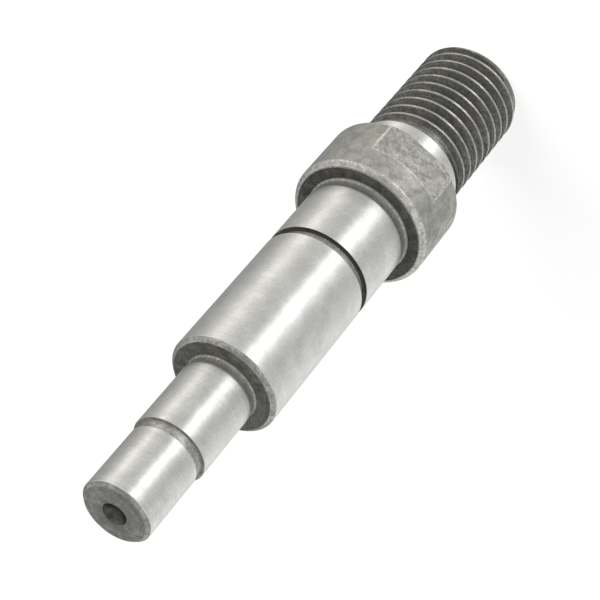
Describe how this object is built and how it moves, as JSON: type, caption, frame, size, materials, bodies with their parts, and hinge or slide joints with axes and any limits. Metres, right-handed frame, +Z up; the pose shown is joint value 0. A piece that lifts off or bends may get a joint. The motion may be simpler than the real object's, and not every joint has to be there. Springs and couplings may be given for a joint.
{
  "type": "stepped shaft",
  "caption": "Turned steel stepped shaft with a threaded end, a flatted collar, a long ground seat with an oil groove, and a short seat and journal with a ring groove between them.",
  "frame": {"origin": "centre of the threaded end's face, which the shaft stands on", "axes": "+Z up the shaft's axis from the threaded end to the small end; the two spanner flats face +Y and -Y"},
  "size_m": [0.02, 0.02, 0.0925],
  "materials": {
    "steel": "ground seats, plain turned collar, dark thread"
  },
  "bodies": {
    "root": {"stepped_shaft": "steel"}
  },
  "joints": []
}
